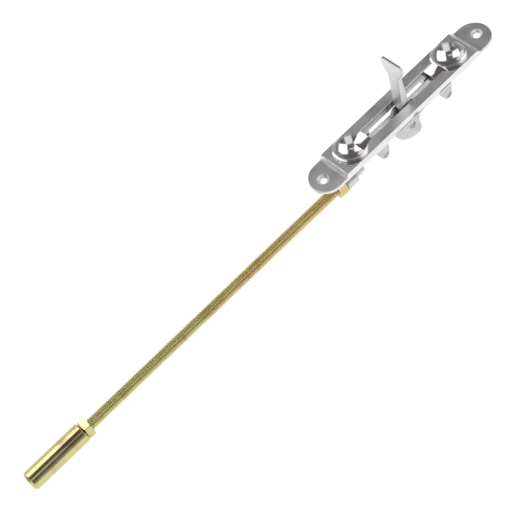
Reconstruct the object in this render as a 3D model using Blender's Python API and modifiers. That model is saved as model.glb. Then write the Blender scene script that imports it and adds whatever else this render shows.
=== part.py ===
"""Lever-action extension flush bolt for the edge of a narrow door.

Frame, in metres: the seat plane of the faceplate's end tabs is z = 0 and its centre is the
origin. +X runs along the faceplate away from the bolt tip, +Z points out of the door edge.
The lever stands a little past upright, near the middle of the throw.
"""
import math

import bmesh
import bpy
from mathutils import Matrix, Vector

MM = 0.001

# ---- faceplate casting ------------------------------------------------------------------------
PLATE_LENGTH = 130.0 * MM        # over the two round ends
PLATE_WIDTH = 20.3 * MM
TAB_THICKNESS = 2.1 * MM
RAISED_THICKNESS = 4.75 * MM     # seat plane to the raised front face
RAISED_BASE_BOLT_END = 49.8 * MM  # centre of the plate to the foot of the step
RAISED_BASE_FAR_END = 50.6 * MM
STEP_RUN_BOLT_END = 1.1 * MM     # length of the steep step
STEP_RUN_FAR_END = 3.0 * MM      # length of the gentle step
LUG_THICKNESS = 2.5 * MM         # lugs and cheek, measured across the plate
EDGE_BEVEL = 0.35 * MM

SCREW_SPACING = 115.5 * MM
SCREW_HOLE_RADIUS = 1.9 * MM
COUNTERSINK_RADIUS = 3.2 * MM

DISH_SPACING = 73.2 * MM         # centre to centre of the two finger dishes
DISH_RADIUS = 9.85 * MM
DISH_DEPTH = 5.2 * MM
DISH_FLOOR = 1.2 * MM            # wall below the deepest point

SLOT_WIDTH = 8.0 * MM
SLOT_LENGTH = 47.6 * MM          # opening right through the casting
NECK_FLOOR_HEIGHT = 0.5 * MM     # floor of the channel that runs on into each dish

# ---- lugs below the plate ---------------------------------------------------------------------
GUIDE_PIN_SPACING = 47.4 * MM
GUIDE_PIN_DEPTH = 6.5 * MM       # below the seat plane
LUG_END_RADIUS = 2.8 * MM
GUIDE_BLOCK_HALF = 3.2 * MM      # blocks between lugs and bar, each way from the pin
LUG_ROOT_BOLT_SIDE = 5.9 * MM    # root's reach from the pin, towards the bolt tip
LUG_ROOT_FAR_SIDE = 3.7 * MM
CHEEK_RADIUS = 14.8 * MM         # quarter round cheek under the middle of the plate
CHEEK_EDGE = 2.3 * MM            # its straight edge, past the middle
CHEEK_CORNER_RADIUS = 2.6 * MM
CHEEK_FILLET = 4.0 * MM

# ---- pins and fits ----------------------------------------------------------------------------
PIVOT_X = 0.6 * MM
PIVOT_HEIGHT = 1.9 * MM
PIVOT_PIN_RADIUS = 1.3 * MM
GUIDE_PIN_RADIUS = 1.3 * MM
DRIVE_PIN_RADIUS = 1.5 * MM
PIN_CLEARANCE = 0.15 * MM        # round a pin, in every hole
SLIDING_CLEARANCE = 0.35 * MM    # beside and under what slides
PIN_END_RECESS = 0.2 * MM        # pins stop this far inside the side walls

# ---- lever ------------------------------------------------------------------------------------
LEVER_LEAN = math.radians(2.5)
LEVER_FOLDED = math.radians(80.0)  # the thumb piece then rests on the rim of a dish
LEVER_LENGTH = 33.5 * MM         # pivot to the straight edge of the thumb piece
THUMB_HALF_WIDTH = 7.5 * MM
THUMB_CORNER_RADIUS = 1.6 * MM
THUMB_ARC_RADIUS = 10.0 * MM     # round sides of the half moon
THUMB_HEIGHT = 9.4 * MM          # straight edge down to the root of the thumb piece
THUMB_EDGE_THICKNESS = 1.5 * MM
STEM_WIDTH_TOP = 7.4 * MM
STEM_WIDTH_BASE = 6.8 * MM
STEM_THICKNESS_TOP = 2.6 * MM
STEM_THICKNESS_BASE = 5.4 * MM
STEM_START = 0.6 * MM            # the wide stem starts this far from the pivot
HUB_RADIUS = 2.75 * MM
ARM_WIDTH = 2.9 * MM
ARM_HALF_THICKNESS = 2.1 * MM
CRANK_RADIUS = 9.5 * MM          # pivot to the drive pin
ARM_END_RADIUS = 2.6 * MM

# ---- slide ------------------------------------------------------------------------------------
BAR_WIDTH = 7.4 * MM
BAR_TOP_DEPTH = 2.2 * MM
BAR_HEIGHT = 7.4 * MM
BAR_END_FAR = 38.0 * MM
BAR_END_BOLT = 46.0 * MM
YOKE_WALL = 0.7 * MM             # top of the yoke's ears, along the bar
YOKE_SIDE_WALL = 0.7 * MM        # closes the drive pin's slot at the bar's sides
YOKE_HEIGHT = 0.25 * MM          # top of the yoke's ears, above the seat plane
YOKE_BOTTOM_DEPTH = 12.4 * MM
ARM_SLIT_SIDE_GAP = 0.3 * MM
ARM_SLIT_REACH = 8.2 * MM
BOSS_RADIUS = 5.0 * MM
BOSS_LENGTH = 7.6 * MM
NECK_RADIUS = 3.1 * MM
NECK_LENGTH = 6.6 * MM
WEB_WIDTH = 4.6 * MM

# ---- rod, nuts and bolt tip -------------------------------------------------------------------
ROD_DEPTH = 13.0 * MM            # rod axis below the seat plane
ROD_RADIUS = 3.175 * MM          # quarter inch rod
ROD_LENGTH = 203.2 * MM
ROD_FIT = 0.15 * MM
ROD_IN_BOSS = 6.4 * MM
BOSS_FACE = 47.9 * MM            # centre of the plate to the boss's front face
FACE_GAP = 0.3 * MM              # between faces that bear on each other
NUT_FLATS = 10.0 * MM
LOCK_NUT_THICKNESS = 5.5 * MM
JAM_NUT_THICKNESS = 4.2 * MM
NUT_TURN = math.radians(6.0)
TIP_RADIUS = 5.5 * MM
TIP_LENGTH = 36.0 * MM
TIP_END = 268.4 * MM             # centre of the plate to the end of the bolt tip
TIP_CHAMFER = 1.3 * MM
TIP_SHOULDER_CHAMFER = 0.6 * MM

# ---- detent -----------------------------------------------------------------------------------
DETENT_X = -3.0 * MM
DETENT_DEPTH = 3.6 * MM
DETENT_HOLE_RADIUS = 2.0 * MM
DETENT_BALL_RADIUS = 1.6 * MM
DETENT_BOSS_RADIUS = 3.4 * MM
DETENT_NOTCH_RADIUS = 1.2 * MM
DETENT_NOTCH_SINK = 0.45 * MM
SPRING_WIRE_RADIUS = 0.15 * MM
SPRING_RADIUS = 1.25 * MM
SPRING_TURNS = 3
PLUG_THICKNESS = 1.3 * MM
PLUG_SLOT_WIDTH = 0.5 * MM
BALL_TRAVEL = 0.45 * MM

ROUND = 40                       # sides of an ordinary round piece
SMALL_ROUND = 24

# ---- values that follow from the sizes above --------------------------------------------------
HALF_WIDTH = PLATE_WIDTH / 2
HALF_BAR = BAR_WIDTH / 2
LUG_INNER = HALF_WIDTH - LUG_THICKNESS
GUIDE_FACE = HALF_BAR + SLIDING_CLEARANCE
DETENT_Z = -DETENT_DEPTH
PIVOT = Vector((PIVOT_X, 0.0, PIVOT_HEIGHT))
SLIDE_RATE = CRANK_RADIUS * math.sin(LEVER_FOLDED) / LEVER_FOLDED    # travel for each radian
LEAD_ANGLE = math.acos(SLIDE_RATE / CRANK_RADIUS)
PIN_LEAD = CRANK_RADIUS * math.sin(LEAD_ANGLE) - SLIDE_RATE * LEAD_ANGLE
YOKE_INNER = DRIVE_PIN_RADIUS + PIN_LEAD + PIN_CLEARANCE    # half of the drive pin's slot
YOKE_SLOT_HALF = HALF_BAR - YOKE_SIDE_WALL
YOKE_X = PIVOT_X - SLIDE_RATE * LEVER_LEAN            # yoke's place at the lever's lean
THROW_TO_BOLT = SLIDE_RATE * (LEVER_FOLDED - LEVER_LEAN)
THROW_TO_FAR = SLIDE_RATE * (LEVER_FOLDED + LEVER_LEAN)
BAR_TOP = -BAR_TOP_DEPTH
BAR_BOTTOM = BAR_TOP - BAR_HEIGHT
CUT_MARGIN = 1.0 * MM            # cutters run past the faces they cut


# ---- tools ------------------------------------------------------------------------------------
def clear_scene():
    """Remove every object, so that the script starts from nothing."""
    for old in list(bpy.data.objects):
        bpy.data.objects.remove(old, do_unlink=True)


def collection(name):
    """Make a collection in the scene."""
    made = bpy.data.collections.new(name)
    bpy.context.scene.collection.children.link(made)
    return made


clear_scene()
PARTS = collection("lever_flush_bolt")
CUTTERS = collection("cutters")


def finish_material(name, colour, roughness, metallic):
    """A Principled material."""
    made = bpy.data.materials.new(name)
    made.use_nodes = True
    shader = made.node_tree.nodes["Principled BSDF"]
    shader.inputs["Base Color"].default_value = (*colour, 1.0)
    shader.inputs["Roughness"].default_value = roughness
    shader.inputs["Metallic"].default_value = metallic
    return made


def new_object(name, mesh, helper=False):
    """Put a mesh in the parts, or among the hidden helpers."""
    made = bpy.data.objects.new(name, mesh)
    (CUTTERS if helper else PARTS).objects.link(made)
    if helper:
        made.hide_render = True
        made.display_type = "WIRE"
    return made


def smooth_round(mesh):
    """Shade round faces smooth and keep the edges between flats sharp."""
    mesh.shade_smooth()
    mesh.set_sharp_from_angle(angle=math.radians(35.0))


def box(name, low, high, helper=False):
    """A box between two corners."""
    low, high = Vector(low), Vector(high)
    shape = bmesh.new()
    bmesh.ops.create_cube(shape, size=1.0)
    size = high - low
    bmesh.ops.transform(shape, matrix=Matrix.Translation((low + high) / 2)
                        @ Matrix.Diagonal((*size, 1.0)), verts=shape.verts)
    mesh = bpy.data.meshes.new(name)
    shape.to_mesh(mesh)
    shape.free()
    return new_object(name, mesh, helper)


AXIS_TURN = {"X": Matrix.Rotation(math.pi / 2, 4, "Y"),
             "Y": Matrix.Rotation(-math.pi / 2, 4, "X"),
             "Z": Matrix.Identity(4)}


def cylinder(name, axis, centre, radius, length, helper=False, sides=ROUND, end_radius=None):
    """A cylinder or cone along an axis, centred on a point; end_radius is at the + end."""
    shape = bmesh.new()
    bmesh.ops.create_cone(shape, cap_ends=True, segments=sides, radius1=radius,
                          radius2=radius if end_radius is None else end_radius, depth=length)
    bmesh.ops.transform(shape, matrix=Matrix.Translation(centre) @ AXIS_TURN[axis],
                        verts=shape.verts)
    mesh = bpy.data.meshes.new(name)
    shape.to_mesh(mesh)
    shape.free()
    smooth_round(mesh)
    return new_object(name, mesh, helper)


def sphere(name, centre, radius, helper=False, rings=16):
    """A ball."""
    shape = bmesh.new()
    bmesh.ops.create_uvsphere(shape, u_segments=2 * rings, v_segments=rings, radius=radius)
    bmesh.ops.translate(shape, vec=Vector(centre), verts=shape.verts)
    mesh = bpy.data.meshes.new(name)
    shape.to_mesh(mesh)
    shape.free()
    smooth_round(mesh)
    return new_object(name, mesh, helper)


def curve_to_mesh(made, name, helper, flat_ended=False):
    """Turn a filled or bevelled curve into a closed mesh at the same place."""
    bpy.context.view_layer.update()
    evaluated = made.evaluated_get(bpy.context.evaluated_depsgraph_get())
    mesh = bpy.data.meshes.new_from_object(evaluated)
    shape = bmesh.new()
    shape.from_mesh(mesh)
    bmesh.ops.transform(shape, matrix=made.matrix_world, verts=shape.verts)
    bmesh.ops.remove_doubles(shape, verts=shape.verts, dist=0.000001)
    if flat_ended:
        bmesh.ops.dissolve_limit(shape, angle_limit=math.radians(0.5), verts=shape.verts,
                                 edges=shape.edges)
    bmesh.ops.recalc_face_normals(shape, faces=shape.faces)
    shape.to_mesh(mesh)
    shape.free()
    mesh.name = name
    bpy.data.objects.remove(made, do_unlink=True)
    smooth_round(mesh)
    return new_object(name, mesh, helper)


def turned(name, axis, centre, profile, helper=False, sides=ROUND):
    """Turn a profile of (radius, place along the axis) points, from the + end to the - end."""
    mesh = bpy.data.meshes.new(name)
    mesh.from_pydata([(radius, 0.0, along) for radius, along in profile],
                     [(k, k + 1) for k in range(len(profile) - 1)], [])
    made = new_object(name, mesh, helper)
    spin = made.modifiers.new("turned", "SCREW")
    spin.steps = spin.render_steps = sides
    spin.use_merge_vertices = True
    spin.merge_threshold = 0.00001
    made.matrix_world = Matrix.Translation(centre) @ AXIS_TURN[axis]
    return curve_to_mesh(made, name, helper)


PLANE_TURN = {"XY": Matrix.Identity(4),
              "XZ": Matrix.Rotation(math.pi / 2, 4, "X"),
              "YZ": Matrix.Rotation(math.pi / 2, 4, "Z") @ Matrix.Rotation(math.pi / 2, 4, "X")}
PLANE_NORMAL = {"XY": Vector((0, 0, 1)), "XZ": Vector((0, 1, 0)), "YZ": Vector((1, 0, 0))}


def outline_solid(name, points, plane, low, high, helper=False):
    """Extrude a flat outline between two heights along its plane's normal."""
    data = bpy.data.curves.new(name, "CURVE")
    data.dimensions = "2D"
    data.fill_mode = "BOTH"
    data.extrude = (high - low) / 2
    spline = data.splines.new("POLY")
    spline.points.add(len(points) - 1)
    for point, (u, v) in zip(spline.points, points):
        point.co = (u, v, 0.0, 1.0)
    spline.use_cyclic_u = True
    made = bpy.data.objects.new(name, data)
    PARTS.objects.link(made)
    made.matrix_world = (Matrix.Translation(PLANE_NORMAL[plane] * (low + high) / 2)
                         @ PLANE_TURN[plane])
    return curve_to_mesh(made, name, helper, flat_ended=True)


def arc(centre, radius, start, end, steps):
    """Points of an arc, angles in degrees, both ends included."""
    turns = [math.radians(start + (end - start) * k / steps) for k in range(steps + 1)]
    return [(centre[0] + radius * math.cos(a), centre[1] + radius * math.sin(a)) for a in turns]


def boolean(target, other, operation):
    """Add an exact boolean that stays live on the target."""
    made = target.modifiers.new(other.name, "BOOLEAN")
    made.operation = operation
    made.solver = "EXACT"
    made.object = other


def cut(target, *cutters):
    """Cut each helper from the target."""
    for cutter in cutters:
        boolean(target, cutter, "DIFFERENCE")


def join(target, *pieces):
    """Grow the target by each helper."""
    for piece in pieces:
        boolean(target, piece, "UNION")


def bevel(target, width, segments=2):
    """Round the sharp edges of a piece."""
    made = target.modifiers.new("edges", "BEVEL")
    made.width = width
    made.segments = segments
    made.limit_method = "ANGLE"
    made.angle_limit = math.radians(40.0)


# ---- faceplate --------------------------------------------------------------------------------
def tab_slab():
    """The flat plate with full round ends."""
    reach = PLATE_LENGTH / 2 - HALF_WIDTH
    outline = arc((reach, 0.0), HALF_WIDTH, -90, 90, 18)
    outline += arc((-reach, 0.0), HALF_WIDTH, 90, 270, 18)
    slab = outline_solid("faceplate", outline, "XY", 0.0, TAB_THICKNESS)
    bevel(slab, EDGE_BEVEL)
    return slab


def raised_block():
    """The thicker middle, with a steep step at the bolt end and a gentle one at the other."""
    outline = [(-RAISED_BASE_BOLT_END, TAB_THICKNESS),
               (-RAISED_BASE_BOLT_END + STEP_RUN_BOLT_END, RAISED_THICKNESS),
               (RAISED_BASE_FAR_END - STEP_RUN_FAR_END, RAISED_THICKNESS),
               (RAISED_BASE_FAR_END, TAB_THICKNESS),
               (RAISED_BASE_FAR_END, EDGE_BEVEL), (-RAISED_BASE_BOLT_END, EDGE_BEVEL)]
    block = outline_solid("raised_block", outline, "XZ", -HALF_WIDTH, HALF_WIDTH, helper=True)
    bevel(block, EDGE_BEVEL)
    return block


def lug_outline(pin_x):
    """A tapered lug with a round end about its pin, wider towards the bolt tip."""
    centre = (pin_x, -GUIDE_PIN_DEPTH)
    top = TAB_THICKNESS / 2
    return ([(pin_x - LUG_ROOT_BOLT_SIDE, top)] + arc(centre, LUG_END_RADIUS, 195, 350, 10)
            + [(pin_x + LUG_ROOT_FAR_SIDE, top)])


def lugs():
    """The four lugs that carry the guide pins, and the guide blocks between them and the bar."""
    made = []
    block_top = TAB_THICKNESS / 3
    for end, pin_x in (("bolt", -GUIDE_PIN_SPACING / 2), ("far", GUIDE_PIN_SPACING / 2)):
        outline = lug_outline(pin_x)
        block = [(pin_x - GUIDE_BLOCK_HALF, block_top)]
        block += arc((pin_x, -GUIDE_PIN_DEPTH), LUG_END_RADIUS, 180, 360, 10)
        block += [(pin_x + GUIDE_BLOCK_HALF, block_top)]
        for side in (-1, 1):
            near, far = sorted((side * LUG_INNER, side * HALF_WIDTH))
            lug = outline_solid(f"lug_{end}_{side}", outline, "XZ", near, far, helper=True)
            near, far = sorted((side * GUIDE_FACE, side * (LUG_INNER + LUG_THICKNESS / 2)))
            guide = outline_solid(f"guide_{end}_{side}", block, "XZ", near, far, helper=True)
            made += [lug, guide]
    return made


def cheek():
    """The quarter round cheek on one side, and the boss inside it for the detent."""
    top = TAB_THICKNESS * 0.7
    corner = (CHEEK_EDGE - CHEEK_CORNER_RADIUS,
              PIVOT_HEIGHT - CHEEK_RADIUS + CHEEK_CORNER_RADIUS)
    fillet = (CHEEK_EDGE + CHEEK_FILLET, -CHEEK_FILLET)
    outline = arc((0.0, PIVOT_HEIGHT), CHEEK_RADIUS, 182, 268, 14)
    outline += arc(corner, CHEEK_CORNER_RADIUS, 285, 360, 5)
    outline += arc(fillet, CHEEK_FILLET, 180, 92, 5)
    outline += [(CHEEK_EDGE + 2 * CHEEK_FILLET, top)]
    wall = outline_solid("cheek", outline, "XZ", -HALF_WIDTH, -LUG_INNER, helper=True)
    low, high = -HALF_WIDTH + LUG_THICKNESS / 2, -GUIDE_FACE
    boss = cylinder("detent_boss", "Y", (DETENT_X, (low + high) / 2, DETENT_Z),
                    DETENT_BOSS_RADIUS, high - low, helper=True)
    return [wall, boss]


def dish_pads():
    """The thick spots under the two finger dishes."""
    depth = RAISED_THICKNESS - DISH_DEPTH - DISH_FLOOR
    top = TAB_THICKNESS / 4
    made = []
    for side in (-1, 1):
        centre = (side * DISH_SPACING / 2, 0.0, (depth + top) / 2)
        made.append(cylinder(f"dish_pad_{side}", "Z", centre, DISH_RADIUS * 0.62, top - depth,
                             helper=True, end_radius=DISH_RADIUS * 0.84))
    return made


def dish_cutters():
    """A ball for each finger dish."""
    radius = (DISH_RADIUS ** 2 + DISH_DEPTH ** 2) / (2 * DISH_DEPTH)
    height = RAISED_THICKNESS - DISH_DEPTH + radius
    return [sphere(f"dish_{side}", (side * DISH_SPACING / 2, 0.0, height), radius, helper=True,
                   rings=28) for side in (-1, 1)]


def slot_cutters():
    """The lever's slot, and the shallow channel over it that runs on into each dish."""
    high = RAISED_THICKNESS + CUT_MARGIN
    made = []
    for name, reach, low in (("slot", SLOT_LENGTH / 2, -CUT_MARGIN),
                             ("channel", DISH_SPACING / 2 - DISH_RADIUS / 2,
                              NECK_FLOOR_HEIGHT)):
        made.append(box(name, (-reach, -SLOT_WIDTH / 2, low), (reach, SLOT_WIDTH / 2, high),
                        helper=True))
    return made


def screw_cutters():
    """Countersunk holes in the tabs."""
    high = TAB_THICKNESS + CUT_MARGIN
    profile = [(0.0, high), (COUNTERSINK_RADIUS + CUT_MARGIN, high),
               (SCREW_HOLE_RADIUS, TAB_THICKNESS - COUNTERSINK_RADIUS + SCREW_HOLE_RADIUS),
               (SCREW_HOLE_RADIUS, -CUT_MARGIN), (0.0, -CUT_MARGIN)]
    return [turned(f"screw_{side}", "Z", (side * SCREW_SPACING / 2, 0.0, 0.0), profile,
                   helper=True, sides=SMALL_ROUND) for side in (-1, 1)]


def pin_cutters():
    """Cross holes for the pivot pin, the guide pins and the detent."""
    length = PLATE_WIDTH + 2 * CUT_MARGIN
    made = [cylinder("pivot_hole", "Y", PIVOT, PIVOT_PIN_RADIUS + PIN_CLEARANCE, length,
                     helper=True, sides=SMALL_ROUND)]
    for side in (-1, 1):
        centre = (side * GUIDE_PIN_SPACING / 2, 0.0, -GUIDE_PIN_DEPTH)
        made.append(cylinder(f"guide_hole_{side}", "Y", centre, GUIDE_PIN_RADIUS + PIN_CLEARANCE,
                             length, helper=True, sides=SMALL_ROUND))
    made.append(cylinder("detent_hole", "Y", (DETENT_X, -HALF_WIDTH, DETENT_Z),
                         DETENT_HOLE_RADIUS, 2 * (HALF_WIDTH - CUT_MARGIN), helper=True,
                         sides=SMALL_ROUND))
    return made


def build_faceplate(finish):
    """The casting: raised block on a slab, with lugs, a cheek, dishes, slot and holes."""
    plate = tab_slab()
    join(plate, raised_block(), *dish_pads(), *lugs(), *cheek())
    cut(plate, *slot_cutters(), *dish_cutters(), *screw_cutters(), *pin_cutters())
    plate.data.materials.append(finish)


def build_cross_pins(finish):
    """The lever's pivot pin and the two pins that carry the slide."""
    length = PLATE_WIDTH - 2 * PIN_END_RECESS
    places = [("pivot_pin", PIVOT, PIVOT_PIN_RADIUS)]
    for end, side in (("bolt_end", -1), ("far_end", 1)):
        centre = Vector((side * GUIDE_PIN_SPACING / 2, 0.0, -GUIDE_PIN_DEPTH))
        places.append((f"guide_pin_{end}", centre, GUIDE_PIN_RADIUS))
    for name, centre, radius in places:
        pin = cylinder(name, "Y", centre, radius, length, sides=SMALL_ROUND)
        pin.data.materials.append(finish)


# ---- detent -----------------------------------------------------------------------------------
def detent_ball_y():
    """The ball rests just off the bar's side."""
    return -HALF_BAR - DETENT_BALL_RADIUS - PIN_CLEARANCE


def build_detent(steel, spring_steel):
    """A ball, its spring and the slotted plug that holds them in the cheek."""
    ball = sphere("detent_ball", (DETENT_X, 0.0, DETENT_Z), DETENT_BALL_RADIUS, rings=10)
    ball.data.transform(Matrix.Translation((-DETENT_X, 0.0, -DETENT_Z)))
    ball.location = (DETENT_X, detent_ball_y(), DETENT_Z)
    ball.data.materials.append(steel)
    outer = -HALF_WIDTH + PIN_END_RECESS
    plug = cylinder("detent_plug", "Y", (DETENT_X, outer + PLUG_THICKNESS / 2, DETENT_Z),
                    DETENT_HOLE_RADIUS - PIN_CLEARANCE, PLUG_THICKNESS, sides=SMALL_ROUND)
    groove = box("plug_slot", (DETENT_X - DETENT_HOLE_RADIUS, outer - CUT_MARGIN,
                               DETENT_Z - PLUG_SLOT_WIDTH / 2),
                 (DETENT_X + DETENT_HOLE_RADIUS, outer + PLUG_SLOT_WIDTH,
                  DETENT_Z + PLUG_SLOT_WIDTH / 2), helper=True)
    cut(plug, groove)
    plug.data.materials.append(steel)
    start = outer + PLUG_THICKNESS + SPRING_WIRE_RADIUS + PIN_CLEARANCE
    stop = detent_ball_y() - DETENT_BALL_RADIUS * 0.62 - SPRING_WIRE_RADIUS - BALL_TRAVEL
    build_coil("detent_spring", start, stop, spring_steel)


def build_coil(name, start, stop, finish):
    """A compression spring along Y."""
    data = bpy.data.curves.new(name, "CURVE")
    data.dimensions = "3D"
    data.bevel_depth = SPRING_WIRE_RADIUS
    data.bevel_resolution = 1
    data.use_fill_caps = True
    steps = 10 * SPRING_TURNS
    spline = data.splines.new("POLY")
    spline.points.add(steps)
    for k, point in enumerate(spline.points):
        turn = 2 * math.pi * SPRING_TURNS * k / steps
        point.co = (DETENT_X + SPRING_RADIUS * math.cos(turn), start + (stop - start) * k / steps,
                    DETENT_Z + SPRING_RADIUS * math.sin(turn), 1.0)
    made = bpy.data.objects.new(name, data)
    PARTS.objects.link(made)
    coil = curve_to_mesh(made, name, helper=False)
    coil.modifiers.new("flat_faces", "TRIANGULATE")
    coil.data.materials.append(finish)


# ---- lever ------------------------------------------------------------------------------------
def thumb_outline():
    """Stem and half moon thumb piece, seen along X, with the pivot at the origin."""
    corner = (THUMB_HALF_WIDTH - THUMB_CORNER_RADIUS, LEVER_LENGTH - THUMB_CORNER_RADIUS)
    centre = THUMB_HALF_WIDTH - THUMB_ARC_RADIUS
    root = math.degrees(math.acos((STEM_WIDTH_TOP / 2 - centre) / THUMB_ARC_RADIUS))
    right = [(STEM_WIDTH_BASE / 2, STEM_START)]
    right += arc((centre, corner[1]), THUMB_ARC_RADIUS, -root, -3, 8)
    right += arc(corner, THUMB_CORNER_RADIUS, 0, 90, 6)
    left = [(-u, v) for u, v in reversed(right)]
    return right + left


def stem_outline():
    """Side profile of stem and thumb piece, seen along Y: thick at the pivot, thin at the edge."""
    root = LEVER_LENGTH - THUMB_HEIGHT
    right = [(STEM_THICKNESS_BASE / 2, STEM_START), (STEM_THICKNESS_TOP / 2, root),
             (THUMB_EDGE_THICKNESS / 2, LEVER_LENGTH)]
    left = [(-u, v) for u, v in reversed(right)]
    return right + left


def arm_outline():
    """Hub and lower arm, seen along Y: two round ends with a straight shank between them."""
    hub_side = math.degrees(math.acos(ARM_HALF_THICKNESS / HUB_RADIUS))
    end_side = math.degrees(math.acos(ARM_HALF_THICKNESS / ARM_END_RADIUS))
    return (arc((0.0, 0.0), HUB_RADIUS, -hub_side, 180 + hub_side, 14)
            + arc((0.0, -CRANK_RADIUS), ARM_END_RADIUS, 180 - end_side, 360 + end_side, 14))


def build_lever(finish, pin_finish):
    """The lever and the drive pin through its lower arm."""
    arm = outline_solid("lever", arm_outline(), "XZ", -ARM_WIDTH / 2, ARM_WIDTH / 2)
    side = outline_solid("lever_side", stem_outline(), "XZ", -THUMB_HALF_WIDTH - CUT_MARGIN,
                         THUMB_HALF_WIDTH + CUT_MARGIN, helper=True)
    front = outline_solid("lever_front", thumb_outline(), "YZ", -STEM_THICKNESS_BASE,
                          STEM_THICKNESS_BASE, helper=True)
    boolean(front, side, "INTERSECT")
    bevel(front, EDGE_BEVEL)
    join(arm, front)
    length = PLATE_WIDTH
    cut(arm, cylinder("lever_bore", "Y", (0, 0, 0), PIVOT_PIN_RADIUS + PIN_CLEARANCE, length,
                      helper=True, sides=SMALL_ROUND))
    cut(arm, cylinder("drive_bore", "Y", (0, 0, -CRANK_RADIUS), DRIVE_PIN_RADIUS + PIN_CLEARANCE,
                      length, helper=True, sides=SMALL_ROUND))
    arm.data.materials.append(finish)
    pin = cylinder("drive_pin", "Y", (0, 0, -CRANK_RADIUS), DRIVE_PIN_RADIUS,
                   2 * (YOKE_SLOT_HALF - SLIDING_CLEARANCE), sides=SMALL_ROUND)
    pin.data.materials.append(pin_finish)
    turn = Matrix.Translation(PIVOT) @ Matrix.Rotation(LEVER_LEAN, 4, "Y")
    helpers = [o for o in CUTTERS.objects if o.name.startswith(("lever_", "drive_"))]
    for piece in [arm, pin, *helpers]:
        piece.matrix_world = turn


# ---- slide ------------------------------------------------------------------------------------
def yoke_outline():
    """The deeper, taller part of the bar round the drive pin, seen along Y."""
    outer = YOKE_INNER + YOKE_WALL
    slope = BAR_TOP_DEPTH + YOKE_HEIGHT
    mid = YOKE_X
    return [(mid - outer - slope, BAR_TOP), (mid - outer - slope, BAR_BOTTOM),
            (mid - outer + slope / 2, -YOKE_BOTTOM_DEPTH),
            (mid + outer - slope / 2, -YOKE_BOTTOM_DEPTH),
            (mid + outer + slope, BAR_BOTTOM), (mid + outer + slope, BAR_TOP),
            (mid + outer, YOKE_HEIGHT), (mid - outer, YOKE_HEIGHT)]


def yoke_cutters():
    """The drive pin's upright slot, open at the top only, and the slit for the lever's arm."""
    lowest = PIVOT_HEIGHT - CRANK_RADIUS - DRIVE_PIN_RADIUS - SLIDING_CLEARANCE
    pin_slot = box("yoke_slot", (YOKE_X - YOKE_INNER, -YOKE_SLOT_HALF, lowest),
                   (YOKE_X + YOKE_INNER, YOKE_SLOT_HALF, YOKE_HEIGHT + CUT_MARGIN), helper=True)
    half = ARM_WIDTH / 2 + ARM_SLIT_SIDE_GAP
    slit = box("arm_slit", (YOKE_X - ARM_SLIT_REACH, -half, -YOKE_BOTTOM_DEPTH - CUT_MARGIN),
               (YOKE_X + ARM_SLIT_REACH, half, YOKE_HEIGHT + CUT_MARGIN), helper=True)
    return [pin_slot, slit]


def guide_slot_cutters():
    """Long slots in the bar, in which the fixed guide pins run."""
    half = GUIDE_PIN_RADIUS + SLIDING_CLEARANCE
    made = []
    for side in (-1, 1):
        pin_x = side * GUIDE_PIN_SPACING / 2
        low = pin_x - THROW_TO_FAR - SLIDING_CLEARANCE
        high = pin_x + THROW_TO_BOLT + SLIDING_CLEARANCE
        outline = (arc((high, -GUIDE_PIN_DEPTH), half, -90, 90, 8)
                   + arc((low, -GUIDE_PIN_DEPTH), half, 90, 270, 8))
        made.append(outline_solid(f"guide_slot_{side}", outline, "XZ", -HALF_WIDTH, HALF_WIDTH,
                                  helper=True))
    return made


def notch_cutters():
    """Shallow notches in the bar's side, where the ball holds the slide at each end."""
    depth = -HALF_BAR - DETENT_NOTCH_RADIUS + DETENT_NOTCH_SINK
    return [sphere(f"notch_{k}", (DETENT_X + shift, depth, DETENT_Z), DETENT_NOTCH_RADIUS,
                   helper=True, rings=8)
            for k, shift in enumerate((THROW_TO_BOLT, -THROW_TO_FAR))]


def build_slide(finish):
    """Bar with yoke above, boss and neck on the rod's axis below, and the web between them."""
    bar = box("slide", (-BAR_END_BOLT, -HALF_BAR, BAR_BOTTOM), (BAR_END_FAR, HALF_BAR, BAR_TOP))
    yoke = outline_solid("yoke", yoke_outline(), "XZ", -HALF_BAR, HALF_BAR, helper=True)
    boss = cylinder("boss", "X", (-BOSS_FACE + BOSS_LENGTH / 2, 0, -ROD_DEPTH), BOSS_RADIUS,
                    BOSS_LENGTH, helper=True)
    bevel(boss, EDGE_BEVEL)
    start = -BOSS_FACE + BOSS_LENGTH - EDGE_BEVEL
    neck = cylinder("boss_neck", "X", (start + NECK_LENGTH / 2, 0, -ROD_DEPTH), NECK_RADIUS,
                    NECK_LENGTH, helper=True)
    bevel(neck, NECK_RADIUS * 0.35, 3)
    web = box("web", (-BAR_END_BOLT + CUT_MARGIN / 2, -WEB_WIDTH / 2, -ROD_DEPTH),
              (start + NECK_LENGTH * 0.7, WEB_WIDTH / 2, BAR_TOP - CUT_MARGIN), helper=True)
    join(bar, yoke, boss, neck, web)
    bore_length = ROD_IN_BOSS + FACE_GAP + CUT_MARGIN
    bore = cylinder("rod_bore", "X", (-BOSS_FACE - CUT_MARGIN + bore_length / 2, 0, -ROD_DEPTH),
                    ROD_RADIUS + ROD_FIT, bore_length, helper=True)
    cut(bar, *yoke_cutters(), *guide_slot_cutters(), *notch_cutters(), bore)
    bar.data.materials.append(finish)


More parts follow.
